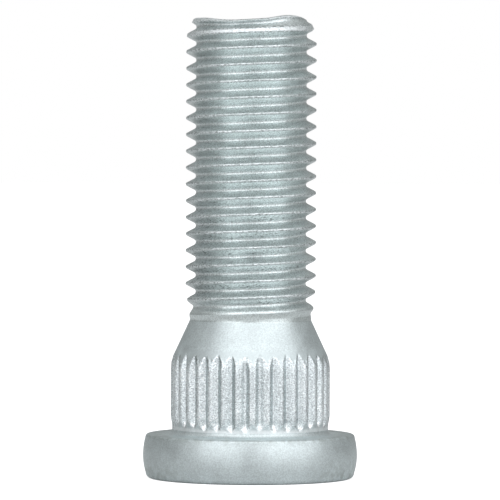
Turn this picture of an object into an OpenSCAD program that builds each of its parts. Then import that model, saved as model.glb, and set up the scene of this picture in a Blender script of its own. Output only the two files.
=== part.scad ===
// One-piece wheel stud: a cold-headed blank with a round head, a knurled press-fit shank,
// a locating cone and a rolled right-hand metric thread. It stands on its head:
// the origin is the centre of the head's back, and +Z runs along the stud to the threaded end.

/* [Overall] */
// Length from the back of the head to the highest point of the threaded end
overall_l = 42; // [36:0.5:52]

/* [Head] */
// Thickness of the head, from its back to the seat that bears on the hub
head_t = 4; // [3:0.1:6]
// Diameter of the head at its belly, where the barrel-shaped side is widest
head_d = 19.48; // [18.5:0.01:24]
// Height of the belly above the back of the head
belly_h = 2.1; // [1.5:0.1:2.5]
// How far the side falls in between the belly and the seat
seat_fall = 0.4; // [0.1:0.05:0.8]
// How far the side falls in between the belly and the back
back_fall = 0.5; // [0.1:0.05:0.8]
// Rounding of the edge round the seat
seat_edge_r = 0.3; // [0.1:0.05:0.5]
// Rounding of the edge round the back
back_edge_r = 0.5; // [0.1:0.05:0.8]
// Fillet between the seat and the shank
fillet_r = 0.45; // [0.2:0.05:0.6]

/* [Knurled shank] */
// Diameter of the plain shank next to the head
shank_d = 14.2; // [13:0.1:16]
// Number of pressed grooves round the shank
groove_n = 34; // [24:1:40]
// How far the pressed-up ridges stand above the plain shank
ridge_rise = 0.1; // [0.05:0.01:0.2]
// Depth of a groove below the ridges
groove_depth = 0.3; // [0.2:0.01:0.4]
// Width of a groove's flat floor
groove_floor_w = 0.3; // [0.1:0.01:0.4]
// Width of a ridge's crest
ridge_w = 0.26; // [0.1:0.01:0.4]
// Length of the plain collar between the seat and the tips of the grooves
collar_l = 0.65; // [0.6:0.05:1.5]
// Length over which a groove runs out towards the head
groove_runout_l = 0.85; // [0.4:0.05:1.5]
// Length over which the ridges rise from the plain shank, from the grooves' tips on
ridge_start_l = 1.1; // [0.5:0.05:1.5]
// Length of the grooves at their full depth, up to where the ridges begin to fall back
knurl_l = 4.75; // [3:0.05:7]
// Length over which the ridges fall back to the plain shank, up to the cone
ridge_fade_l = 0.75; // [0.3:0.05:1.5]
// Direction of the first groove, counted from +X towards +Y
groove_angle = 277.05; // [0:0.05:359]

/* [Cone and neck] */
// Angle between the cone's side and the stud's axis
cone_angle = 25; // [15:1:40]
// Diameter of the plain neck above the cone
neck_d = 11.05; // [10.8:0.05:11.6]
// Length of the plain neck between the cone and the thread
neck_l = 0.25; // [0.1:0.05:2]

/* [Thread] */
// Diameter over the crests of the rolled thread
thread_d = 11.8; // [11.7:0.01:12.2]
// Distance from one crest to the next
thread_pitch = 1.5; // [1.25:0.05:2]
// Diameter at the root of the thread
thread_root_d = 10.1; // [9.6:0.01:10.4]
// Width of the flat along a crest
crest_w = 0.2; // [0.1:0.01:0.3]
// Width of the flat along a root
root_w = 0.32; // [0.1:0.01:0.4]
// Length over which the thread runs out into the neck
runout_l = 2.6; // [1:0.1:5]
// Depth of a crest below the threaded end, on the +X side
crest_drop = 2.55; // [2:0.05:4]

/* [Threaded end] */
// Length of the rounded nose, where the crests get lower towards the end
nose_l = 2.65; // [1:0.05:4]
// How far the nose has fallen in at the end, taken on the radius
nose_fall = 0.75; // [0.4:0.05:0.8]
// Height of the bevel round the end face
bevel_h = 0.15; // [0.05:0.01:0.3]
// Width of the bevel round the end face, taken on the radius
bevel_w = 0.35; // [0.1:0.05:0.6]
// Difference in height between the lobes and the dips of the rolled rim
rim_wave = 0.4; // [0.1:0.05:0.6]
// Number of lobes round the rim
rim_lobes = 3; // [2:1:5]
// How much lower the rim lies opposite its highest lobe
rim_tilt = 0.1; // [0:0.05:0.3]
// Direction of the highest lobe, counted from +X towards +Y
rim_angle = 71; // [0:1:359]
// Diameter of the shallow cup that rolling leaves in the end face
cup_d = 7; // [4:0.1:8]
// Depth of the cup below the threaded end
cup_depth = 0.9; // [0.7:0.05:1.5]

/* [Hidden] */

// Radii
head_r = head_d / 2;
shank_r = shank_d / 2;
ridge_r = shank_r + ridge_rise;
groove_r = ridge_r - groove_depth;
neck_r = neck_d / 2;
crest_r = thread_d / 2;
root_r = thread_root_d / 2;

// Heights above the back of the head
tips_z = head_t + collar_l;
knurl_z = tips_z + groove_runout_l;
ridge_z = tips_z + ridge_start_l;
fade_z = knurl_z + knurl_l;
cone_z = fade_z + ridge_fade_l;
cone_top_z = cone_z + (shank_r - neck_r) / tan(cone_angle);
thread_z = cone_top_z + neck_l;
crest_z = overall_l - crest_drop;
nose_z = overall_l - nose_l;

// Steps in a rounded corner and along a side of the head
arc_steps = 8;
// Facets of the thread in one turn
turn_steps = 48;
// The threaded rod's facets start this far inside the neck's circle and this far below its end
rod_inset = 0.03;
rod_sink = 0.2;
rod_r = neck_r - rod_inset;
rod_z = thread_z - rod_sink;
// How far the cutters of the grooves reach out past the ridges and the cone, and past the grooves' tips
cutter_over = 0.4;
tip_over = 0.05;

// Points of an arc about a centre, from one angle to another
function arc(centre, r, from, to) =
    [for (i = [0:arc_steps]) let (a = from + (to - from) * i / arc_steps) centre + r * [cos(a), sin(a)]];

// Radius of the circle that rises h along the axis while it falls in by f
function side_arc_r(h, f) = (h * h + f * f) / (2 * f);

// Radius of the head's barrel-shaped side at height z
function fall_at(h, r) = r - sqrt(r * r - h * h);
function side_r(z) =
    z > belly_h
        ? head_r - fall_at(z - belly_h, side_arc_r(head_t - belly_h, seat_fall))
        : head_r - fall_at(belly_h - z, side_arc_r(belly_h, back_fall));

// Points up the side of the head, between its two rounded edges
function side_points() =
    let (low = back_edge_r, high = head_t - seat_edge_r)
    [for (i = [1:arc_steps - 1]) let (z = low + (high - low) * i / arc_steps) [side_r(z), z]];

// Outline of the blank, from the back of the head up to the end of the neck
function blank_outline() = concat(
    [[0, 0]],
    arc([side_r(back_edge_r) - back_edge_r, back_edge_r], back_edge_r, -90, 0),
    side_points(),
    arc([side_r(head_t - seat_edge_r) - seat_edge_r, head_t - seat_edge_r], seat_edge_r, 0, 90),
    arc([shank_r + fillet_r, head_t + fillet_r], fillet_r, 270, 180),
    [[shank_r, tips_z], [ridge_r, ridge_z], [ridge_r, fade_z], [shank_r, cone_z]],
    [[neck_r, cone_top_z], [neck_r, thread_z], [0, thread_z]]
);

module blank() {
    rotate_extrude($fn = 96) polygon(blank_outline());
}

// Section of one groove's cutter, with x outwards from the groove's floor
module groove_section() {
    ridge_half = ridge_r * sin(180 / groove_n) - ridge_w / 2;
    slope = (ridge_half - groove_floor_w / 2) / groove_depth;
    reach = groove_depth + cutter_over;
    half = groove_floor_w / 2 + slope * reach;
    polygon([[0, -groove_floor_w / 2], [reach, -half], [reach, half], [0, groove_floor_w / 2]]);
}

// One groove: straight along the shank and out through the cone, and rising to its tip towards the head
module groove() {
    lift_angle = atan((shank_r - groove_r) / groove_runout_l);
    cone_exit_z = cone_z + (shank_r - groove_r) / tan(cone_angle);
    translate([groove_r, 0, knurl_z])
        linear_extrude(cone_exit_z + cutter_over - knurl_z) groove_section();
    translate([groove_r, 0, knurl_z])
        rotate([0, 180 - lift_angle, 0])
            linear_extrude(groove_runout_l / cos(lift_angle) + tip_over) mirror([1, 0]) groove_section();
}

module grooves() {
    for (i = [0:groove_n - 1]) rotate([0, 0, groove_angle + i * 360 / groove_n]) groove();
}

// Shape of the thread: a trapezium from crest to root, faded into the neck and lowered by the nose
row_offsets = [-crest_w / 2, crest_w / 2, (thread_pitch - root_w) / 2, (thread_pitch + root_w) / 2];
profile_rows = len(row_offsets);

// Radius of the full thread, where s is the distance from the nearest crest's middle
function profile_r(s) =
    let (flank = (thread_pitch - crest_w - root_w) / 2, part = (s - crest_w / 2) / flank)
    crest_r + (root_r - crest_r) * min(1, max(0, part));

// Distance along the axis from height z, at angle a, to the nearest crest's middle
function to_crest(z, a) =
    let (turns = (z - crest_z) / thread_pitch - a / 360)
    abs(turns - round(turns)) * thread_pitch;

// Radius of the nose, and how much of the thread has run in
function nose_r(z) = crest_r - nose_fall * pow(max(0, z - nose_z) / nose_l, 2);
function run_in(z) = min(1, max(0, (z - thread_z) / runout_l));
function thread_r(z, a) = min(rod_r + (profile_r(to_crest(z, a)) - rod_r) * run_in(z), nose_r(z));

// Height of the rolled rim at angle a
function rim_z(a) =
    overall_l - rim_wave * (1 - cos(rim_lobes * (a - rim_angle))) / 2
    - rim_tilt * (1 - cos(a - rim_angle)) / 2;
function lip_z(a) = rim_z(a) - bevel_h;

// Rows of points follow the helix: four rows to a pitch, numbered from below the neck to past the end
low_turn = floor((rod_z - crest_z) / thread_pitch) - 2;
high_turn = ceil((overall_l - crest_z) / thread_pitch) + 2;
row_count = (high_turn - low_turn) * profile_rows;
function angle_at(j) = 360 * j / turn_steps;
function row_z(i, j) =
    crest_z + thread_pitch * (low_turn + floor(i / profile_rows) + j / turn_steps)
    + row_offsets[i % profile_rows];

function ring_point(r, z, j) = [r * cos(angle_at(j)), r * sin(angle_at(j)), z];

// A row that has passed the rod's foot or its lip shares that ring's points: ring 0 is the foot and ring 1 the lip
function rod_vertex(i, j) =
    j == turn_steps ? rod_vertex(i + profile_rows, 0)
    : row_z(i, j) <= rod_z ? j
    : row_z(i, j) >= lip_z(angle_at(j)) ? turn_steps + j
    : ring_start(i + 4) + j;

function ring_start(k) = k * turn_steps;
function ring_vertex(k, j) = ring_start(k) + j % turn_steps;

// Rings 0 to 3 are the foot, the lip, the rim and the cup. The helical rows follow them.
function rod_points() = concat(
    [for (j = [0:turn_steps - 1]) ring_point(rod_r, rod_z, j)],
    [for (j = [0:turn_steps - 1]) let (a = angle_at(j)) ring_point(thread_r(lip_z(a), a), lip_z(a), j)],
    [for (j = [0:turn_steps - 1]) let (a = angle_at(j)) ring_point(thread_r(lip_z(a), a) - bevel_w, rim_z(a), j)],
    [for (j = [0:turn_steps - 1]) ring_point(cup_d / 2, overall_l - cup_depth, j)],
    [for (i = [0:row_count - 1], j = [0:turn_steps - 1])
        let (a = angle_at(j), z = min(lip_z(a), max(rod_z, row_z(i, j)))) ring_point(thread_r(z, a), z, j)],
    [[0, 0, rod_z], [0, 0, overall_l - cup_depth]]
);

// Two triangles between four corners that run right, up and left as seen from outside
function quad(a, b, c, d) = [
    if (a != d && d != c && a != c) [a, d, c],
    if (a != c && c != b && a != b) [a, c, b]
];

// Triangles between two whole rings of points
function band(low, high) = [
    for (j = [0:turn_steps - 1])
        each quad(ring_vertex(low, j), ring_vertex(low, j + 1), ring_vertex(high, j + 1), ring_vertex(high, j))
];

function rod_faces() =
    let (foot_centre = ring_start(row_count + 4), cup_centre = foot_centre + 1)
    concat(
        [for (j = [0:turn_steps - 1]) [foot_centre, ring_vertex(0, j), ring_vertex(0, j + 1)]],
        [for (i = [0:row_count - profile_rows - 2], j = [0:turn_steps - 1])
            each quad(rod_vertex(i, j), rod_vertex(i, j + 1), rod_vertex(i + 1, j + 1), rod_vertex(i + 1, j))],
        band(1, 2),
        band(2, 3),
        [for (j = [0:turn_steps - 1]) [cup_centre, ring_vertex(3, j + 1), ring_vertex(3, j)]]
    );

module threaded_rod() {
    polyhedron(points = rod_points(), faces = rod_faces(), convexity = 10);
}

module wheel_stud() {
    color([0.68, 0.7, 0.69]) {
        difference() {
            blank();
            grooves();
        }
        threaded_rod();
    }
}

wheel_stud();
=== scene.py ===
"""Wheel stud: the looks of a one-piece, zinc-plated wheel stud with a rolled thread.

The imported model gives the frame. The stud is modelled again as one closed mesh with the soft
edges, the rolled thread form, the pressed grooves and the small unevenness of the real one,
dressed in procedural zinc plating, and set on a pale floor under plain studio light.
"""

import logging
import math
import random
from collections.abc import Callable, Iterator
from contextlib import contextmanager
from dataclasses import dataclass, field
from enum import Enum

import bpy
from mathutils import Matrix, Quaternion, Vector, noise


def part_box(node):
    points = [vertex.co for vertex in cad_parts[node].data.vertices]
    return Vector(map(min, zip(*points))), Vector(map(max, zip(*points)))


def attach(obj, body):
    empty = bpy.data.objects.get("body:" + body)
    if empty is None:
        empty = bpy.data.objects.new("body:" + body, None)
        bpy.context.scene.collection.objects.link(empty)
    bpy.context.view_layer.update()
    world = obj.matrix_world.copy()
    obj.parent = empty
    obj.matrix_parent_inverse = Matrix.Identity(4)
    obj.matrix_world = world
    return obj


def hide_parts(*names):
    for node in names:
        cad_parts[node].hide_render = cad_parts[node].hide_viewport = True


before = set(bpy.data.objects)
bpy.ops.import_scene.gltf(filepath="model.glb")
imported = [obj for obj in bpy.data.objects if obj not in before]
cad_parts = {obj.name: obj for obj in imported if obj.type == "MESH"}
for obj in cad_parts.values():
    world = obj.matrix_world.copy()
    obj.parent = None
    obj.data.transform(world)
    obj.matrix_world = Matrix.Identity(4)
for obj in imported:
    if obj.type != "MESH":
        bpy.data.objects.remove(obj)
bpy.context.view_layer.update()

Piece = bpy.types.Object
Socket = bpy.types.NodeSocket
Tree = bpy.types.NodeTree
Colour = tuple[float, float, float, float]
Triple = tuple[float, float, float]
Pair = tuple[float, float]
Spans = tuple[float, float, float, float]

LOG = logging.getLogger("wheel_stud")
MM = 0.001
CENTRE: Triple = (0.0, 0.0, 0.0)
UP: Triple = (0.0, 0.0, 1.0)
WHITE: Colour = (1.0, 1.0, 1.0, 1.0)
NODE = "wheel_stud"
PIECE = "zinc_stud"
SEED = 7
AXIS_R = 0.1 * MM
WELD = 0.0001 * MM


class Zone(Enum):
    """The three differently worked surfaces of the stud, in the order of its material slots."""

    HEADED = 0
    KNURLED = 1
    ROLLED = 2


class Masks(Enum):
    """Names of the masks painted on the mesh for the finishes."""

    KNURL = "knurl"
    THREAD = "thread"


def smooth_step(low: float, high: float, value: float) -> float:
    """Ease a value from 0 at low to 1 at high."""
    part = min(1.0, max(0.0, (value - low) / (high - low)))
    return part * part * (3.0 - 2.0 * part)


def fade(low: float, high: float, value: float) -> float:
    """Ease a value from 1 at low to 0 at high."""
    return 1.0 - smooth_step(low, high, value)


def shifted(span: Pair, distance: float) -> Pair:
    """Return a span moved by a distance."""
    return distance + span[0], distance + span[1]


def smooth_min(first: float, second: float, blend: float) -> float:
    """Return the smaller of two lengths, rounded off over a blend where they are close."""
    part = max(blend - abs(first - second), 0.0) / blend
    return min(first, second) - part * part * blend * 0.25


def turn_from(middle: float, angle: float) -> float:
    """Return the signed turn in degrees from a middle angle to another, the short way round."""
    return (angle - middle + 180) % 360 - 180


def dimples(co: Vector, scale: float) -> float:
    """Return a smooth noise from 0 to 1 at a place, with its features a metre as the scale."""
    return 0.5 + 0.5 * noise.noise(co * scale)


def set_radius(vert: bpy.types.MeshVertex, radius: float) -> None:
    """Move a vertex straight in or out.

    Args:
        vert: Vertex away from the axis.
        radius: Its new distance from the axis.
    """
    x, y, _ = vert.co
    r = math.hypot(x, y)
    vert.co.x, vert.co.y = x * radius / r, y * radius / r


def arc(
    centre_r: float, centre_z: float, radius: float, start: float, stop: float, steps: int
) -> list[Pair]:
    """Make the points of an arc in the outline's plane.

    Args:
        centre_r: Distance of the arc's centre from the axis.
        centre_z: Height of the arc's centre.
        radius: Radius of the arc.
        start: First angle in degrees, from the outward direction towards +Z.
        stop: Last angle in degrees.
        steps: Number of stretches between the points.

    Returns:
        Pairs of radius and height, both ends included.
    """
    angles = [math.radians(start + (stop - start) * i / steps) for i in range(steps + 1)]
    return [(centre_r + radius * math.cos(a), centre_z + radius * math.sin(a)) for a in angles]


@dataclass(frozen=True)
class StudSizes:
    """Driving sizes of the stud, in metres and degrees. The overall ones come from the frame."""

    length: float
    head_r: float
    head_t: float = 4.0 * MM
    belly_z: float = 2.1 * MM
    seat_fall: float = 0.3 * MM
    back_fall: float = 0.43 * MM
    seat_edge_r: float = 0.25 * MM
    back_edge_r: float = 0.5 * MM
    fillet_r: float = 0.45 * MM
    shank_r: float = 7.1 * MM
    ridge_rise: float = 0.15 * MM
    groove_depth: float = 0.35 * MM
    groove_count: int = 34
    groove_angle: float = 277.05
    tips_z: float = 4.65 * MM
    knurl_z: float = 5.5 * MM
    fade_z: float = 10.25 * MM
    cone_z: float = 10.94 * MM
    knurl_top: float = 1.0 * MM
    cone_angle: float = 25.0
    neck_r: float = 5.525 * MM
    thread_z: float = 14.45 * MM
    pitch: float = 1.5 * MM
    crest_r: float = 5.95 * MM
    root_r: float = 5.0 * MM
    crest_drop: float = 2.59 * MM

    @classmethod
    def from_frame(cls) -> "StudSizes":
        """Take the length and the head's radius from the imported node."""
        low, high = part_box(NODE)
        return cls(length=high.z, head_r=(high.x - low.x) / 2)

    @property
    def knurl_stop_z(self) -> float:
        """Height on the cone above which nothing is pressed."""
        return self.cone_z + self.knurl_top

    @property
    def cone_top_z(self) -> float:
        """Height at which the cone meets the neck."""
        return self.cone_z + (self.shank_r - self.neck_r) / math.tan(math.radians(self.cone_angle))

    @property
    def crest_z(self) -> float:
        """Height of the crest nearest the end, on the +X side."""
        return self.length - self.crest_drop


class Bench:
    """Edit-mode work on one mesh at a time, as done by hand."""

    @staticmethod
    def deselect() -> None:
        """Leave nothing selected, so that an operator acts on its own piece alone."""
        bpy.ops.object.select_all(action="DESELECT")

    @staticmethod
    def pick(piece: Piece) -> None:
        """Select one piece and make it the active one.

        Args:
            piece: Piece to select.
        """
        Bench.deselect()
        piece.select_set(True)
        bpy.context.view_layer.objects.active = piece

    @staticmethod
    @contextmanager
    def editing(piece: Piece) -> Iterator[None]:
        """Open a piece in edit mode for the length of a with block.

        Args:
            piece: Piece to edit.
        """
        Bench.pick(piece)
        bpy.ops.object.mode_set(mode="EDIT")
        try:
            yield
        finally:
            bpy.ops.object.mode_set(mode="OBJECT")

    @staticmethod
    def outline(name: str, points: list[Pair]) -> Piece:
        """Draw an outline in the XZ plane by extruding one vertex from point to point.

        Args:
            name: Name of the new piece.
            points: Pairs of radius and height, from the first vertex to the last.

        Returns:
            The new piece, a chain of edges.
        """
        Bench.deselect()
        bpy.ops.mesh.primitive_plane_add(size=MM, location=CENTRE)
        piece = bpy.context.object
        piece.name = name
        with Bench.editing(piece):
            bpy.ops.mesh.select_all(action="SELECT")
            bpy.ops.mesh.merge(type="CENTER")
            bpy.ops.transform.translate(value=(points[0][0], 0.0, points[0][1]))
            for (r0, z0), (r1, z1) in zip(points, points[1:]):
                bpy.ops.mesh.extrude_region_move(TRANSFORM_OT_translate={"value": (r1 - r0, 0.0, z1 - z0)})
        return piece

    @staticmethod
    def weld(piece: Piece) -> None:
        """Merge vertices that lie on each other.

        Args:
            piece: Piece whose seam and poles are closed.
        """
        with Bench.editing(piece):
            bpy.ops.mesh.select_all(action="SELECT")
            bpy.ops.mesh.remove_doubles(threshold=WELD)

    @staticmethod
    def select_band(piece: Piece, low: float, high: float) -> None:
        """Select what lies between two heights, for the next operator in edit mode.

        Args:
            piece: Piece in object mode.
            low: Height at which the band starts.
            high: Height at which it ends.
        """
        mesh = piece.data
        for vert in mesh.vertices:
            vert.select = low < vert.co.z < high
        for edge in mesh.edges:
            edge.select = all(mesh.vertices[i].select for i in edge.vertices)
        for face in mesh.polygons:
            face.select = all(mesh.vertices[i].select for i in face.vertices)

    @staticmethod
    def select_rim(piece: Piece, test: Callable[[Vector], bool]) -> None:
        """Select the open edges whose two ends pass a test, for the next operator in edit mode.

        Args:
            piece: Piece in object mode.
            test: Says of a vertex's place whether it belongs.
        """
        mesh = piece.data
        uses = [0] * len(mesh.edges)
        for face in mesh.polygons:
            for loop in face.loop_indices:
                uses[mesh.loops[loop].edge_index] += 1
        for part in (*mesh.vertices, *mesh.polygons):
            part.select = False
        for edge in mesh.edges:
            inside = all(test(mesh.vertices[i].co) for i in edge.vertices)
            edge.select = uses[edge.index] == 1 and inside
            if edge.select:
                for i in edge.vertices:
                    mesh.vertices[i].select = True


@dataclass(frozen=True)
class Groove:
    """One pressed groove: its angle in degrees, its depth, and the shifts of its two ends."""

    angle: float
    depth: float
    tip: float
    top: float


@dataclass
class HeadedBlank:
    """Head, knurled shank, cone and neck: the part of the stud that isn't rolled.

    Angles across a groove are in degrees. Rows and steps say how fine the mesh is. Each groove's
    errors are drawn between two numbers, in degrees, in shares of the depth and in mm.
    """

    sizes: StudSizes
    steps_per_groove: int = 12
    ring_angles: tuple[float, ...] = (0.0, 0.5, 1.2, 2.0, 2.8, 3.7, 5.294)
    back_rows: int = 4
    side_rows: int = 10
    seat_rows: int = 4
    back_edge_steps: int = 6
    seat_edge_steps: int = 5
    fillet_steps: int = 5
    tip_row: float = 0.1 * MM
    knurl_row: float = 0.6 * MM
    tip_rows_rise: float = 0.2 * MM
    point_rows_rise: float = 0.9 * MM
    cone_rows: int = 6
    cone_rows_drop: float = 0.15 * MM
    neck_row: float = 0.05 * MM
    cone_blend: float = 0.12 * MM
    neck_blend: float = 0.045 * MM
    floor_half: float = 0.5
    flank_end: float = 3.7
    # The painted flank shade is strongest where a flank faces sideways.
    flank_turn: float = 45.0
    aside_span: Pair = (0.38, 0.98)
    tip_width: float = 0.12
    tip_lead: float = 0.05 * MM
    full_rise: float = 0.3 * MM
    section_blend: float = 0.05
    floor_blend: float = 0.03 * MM
    angle_errors: Pair = (-0.2, 0.2)
    depth_shares: Pair = (0.92, 1.06)
    tip_errors: Pair = (-0.14, 0.16)
    top_errors: Pair = (-0.1, 0.1)
    rng: random.Random = field(default_factory=lambda: random.Random(SEED))
    grooves: list[Groove] = field(default_factory=list)

    @property
    def steps(self) -> int:
        """Number of vertices in one ring of the blank."""
        return self.sizes.groove_count * self.steps_per_groove

    @property
    def groove_pitch(self) -> float:
        """Angle from one groove to the next, in degrees."""
        return 360 / self.sizes.groove_count

    def gather_rings(self, piece: Piece) -> None:
        """Draw each ring's vertices together where a groove's floor, flanks and crests bend.

        Args:
            piece: The spun blank, whose vertices are evenly spread.
        """
        start, step = self.sizes.groove_angle, self.groove_pitch / self.steps_per_groove
        for vert in piece.data.vertices:
            x, y, _ = vert.co
            r = math.hypot(x, y)
            if r < AXIS_R:
                continue
            angle = math.degrees(math.atan2(y, x))
            centre = start + round((angle - start) / self.groove_pitch) * self.groove_pitch
            index = round((angle - centre) / step)
            turned = math.radians(centre + math.copysign(self.ring_angles[abs(index)], index))
            vert.co.x, vert.co.y = r * math.cos(turned), r * math.sin(turned)

    def side_r(self, z: float) -> float:
        """Work out the radius of the head's barrel-shaped side.

        Args:
            z: Height on the side.

        Returns:
            The radius at that height.
        """
        s = self.sizes
        rise, fall = (s.head_t - s.belly_z, s.seat_fall) if z > s.belly_z else (s.belly_z, s.back_fall)
        bow = (rise * rise + fall * fall) / (2 * fall)
        return s.head_r - bow + math.sqrt(bow * bow - (z - s.belly_z) ** 2)

    def head_outline(self) -> list[Pair]:
        """Draw the head's outline, from the axis across the back and up to the fillet's top.

        Returns:
            Pairs of radius and height.
        """
        s = self.sizes
        back_r = self.side_r(s.back_edge_r) - s.back_edge_r
        seat_z = s.head_t - s.seat_edge_r
        seat_r = self.side_r(seat_z) - s.seat_edge_r
        foot_r = s.shank_r + s.fillet_r
        side_l, seat_l = seat_z - s.back_edge_r, foot_r - seat_r
        side_heights = [s.back_edge_r + side_l * i / self.side_rows for i in range(1, self.side_rows)]
        return [
            *[(back_r * i / self.back_rows, 0.0) for i in range(self.back_rows)],
            *arc(back_r, s.back_edge_r, s.back_edge_r, -90, 0, self.back_edge_steps),
            *[(self.side_r(z), z) for z in side_heights],
            *arc(seat_r, seat_z, s.seat_edge_r, 0, 90, self.seat_edge_steps),
            *[(seat_r + seat_l * i / self.seat_rows, s.head_t) for i in range(1, self.seat_rows)],
            *arc(foot_r, s.head_t + s.fillet_r, s.fillet_r, 270, 180, self.fillet_steps),
        ]

    def shank_heights(self) -> list[float]:
        """Space the shank's rings: close together at the grooves' ends, wide between them.

        Returns:
            Heights from the fillet's top to just above the grooves' points.
        """
        s = self.sizes
        heights, z = [], s.head_t + s.fillet_r + self.tip_row
        while z < s.cone_z + self.point_rows_rise:
            heights.append(z)
            z += self.knurl_row if s.knurl_z + self.tip_rows_rise < z < s.fade_z else self.tip_row
        return heights

    def plain_r(self, z: float) -> float:
        """Work out the radius of the shank, cone and neck without grooves.

        Args:
            z: Height above the back.

        Returns:
            The radius at that height.
        """
        s = self.sizes
        rise = s.ridge_rise * smooth_step(s.tips_z, s.knurl_z + self.full_rise, z)
        rise *= fade(s.fade_z, s.cone_z, z)
        cone = s.shank_r - (z - s.cone_z) * math.tan(math.radians(s.cone_angle))
        body = smooth_min(s.shank_r + rise, cone, self.cone_blend)
        return -smooth_min(-body, -s.neck_r, self.neck_blend)

    def outline(self) -> list[Pair]:
        """Draw the whole outline of the blank, from the axis to the end of the neck.

        Returns:
            Pairs of radius and height.
        """
        s, shank = self.sizes, self.shank_heights()
        cone_l = s.cone_top_z - self.cone_rows_drop - shank[-1]
        cone = [shank[-1] + cone_l * i / self.cone_rows for i in range(1, self.cone_rows + 1)]
        neck = [s.cone_top_z + i * self.neck_row for i in (-2, -1, 0, 1, 2)]
        return [*self.head_outline(), *[(self.plain_r(z), z) for z in (*shank, *cone, *neck)]]

    def nearest(self, angle: float) -> Groove:
        """Return the groove nearest to an angle in degrees."""
        index = round((angle - self.sizes.groove_angle) / self.groove_pitch)
        return self.grooves[index % len(self.grooves)]

    def across(self, angle: float, z: float) -> float:
        """Measure how far a place lies from the middle of the nearest groove.

        Args:
            angle: Angle of the place in degrees.
            z: Height of the place.

        Returns:
            Degrees from the groove's middle, stretched where the groove narrows to its tip.
        """
        s, groove = self.sizes, self.nearest(angle)
        start = s.tips_z + groove.tip - self.tip_lead
        part = min(1.0, max(0.0, (z - start) / (s.knurl_z + self.tip_lead - start)))
        return abs(turn_from(groove.angle, angle)) / max(self.tip_width, math.sqrt(1.0 - (1.0 - part) ** 2))

    # Used only to weight the painted shade on the grooves' flanks.
    def aside(self, angle: float) -> float:
        """Work out how far the groove's flank at a place faces sideways.

        Args:
            angle: Angle of the place in degrees.

        Returns:
            A share, 1 where the flank faces straight to the left or right.
        """
        away = turn_from(self.nearest(angle).angle, angle)
        facing = math.radians(angle - math.copysign(self.flank_turn, away))
        return smooth_step(*self.aside_span, abs(math.cos(facing)))

    def new_groove(self, index: int) -> Groove:
        """Draw a groove a little different from the others in place, depth and length.

        Args:
            index: Which groove it is, counted round the shank.

        Returns:
            The groove.
        """
        s, draw = self.sizes, self.rng.uniform
        return Groove(
            angle=s.groove_angle + index * 360 / s.groove_count + draw(*self.angle_errors),
            depth=s.groove_depth * draw(*self.depth_shares),
            tip=draw(*self.tip_errors) * MM,
            top=draw(*self.top_errors) * MM,
        )

    def pressed_r(self, r: float, angle: float, z: float) -> float:
        """Work out how far a place on the shank is pressed in.

        Args:
            r: Radius of the place before pressing.
            angle: Angle of the place in degrees.
            z: Height of the place.

        Returns:
            The radius after pressing.
        """
        s, groove = self.sizes, self.nearest(angle)
        flank = (self.across(angle, z) - self.floor_half) / (self.flank_end - self.floor_half)
        depth = groove.depth * (1.0 - smooth_min(max(flank, 0.0), 1.0, self.section_blend))
        if z < s.knurl_z + self.full_rise:
            run_in = max(0.0, z - s.tips_z - groove.tip) / (s.knurl_z - s.tips_z)
            return r - depth * math.sin(min(1.0, run_in) * math.pi / 2)
        floor_r = s.shank_r + s.ridge_rise - depth + groove.top * smooth_step(s.fade_z, s.cone_z, z)
        return smooth_min(r, floor_r, self.floor_blend)

    def cut_grooves(self, piece: Piece) -> None:
        """Press the grooves into the shank.

        Args:
            piece: The plain blank.
        """
        s = self.sizes
        self.grooves = [self.new_groove(i) for i in range(s.groove_count)]
        for vert in piece.data.vertices:
            x, y, z = vert.co
            if s.head_t + s.fillet_r < z < s.knurl_stop_z:
                angle = math.degrees(math.atan2(y, x))
                set_radius(vert, self.pressed_r(math.hypot(x, y), angle, z))

    def build(self) -> Piece:
        """Spin the outline round the axis and press the grooves.

        Returns:
            The blank, closed at its back and open at its neck.
        """
        piece = Bench.outline("headed_blank", self.outline())
        start = math.radians(-self.sizes.groove_angle)
        with Bench.editing(piece):
            bpy.ops.mesh.select_all(action="SELECT")
            bpy.ops.transform.rotate(value=start, orient_axis="Z", center_override=CENTRE)
            bpy.ops.mesh.select_all(action="SELECT")
            bpy.ops.mesh.spin(steps=self.steps, angle=math.tau, center=CENTRE, axis=UP)
        Bench.weld(piece)
        self.gather_rings(piece)
        self.cut_grooves(piece)
        LOG.info("headed blank: %d faces, %d grooves", len(piece.data.polygons), len(self.grooves))
        return piece


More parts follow.
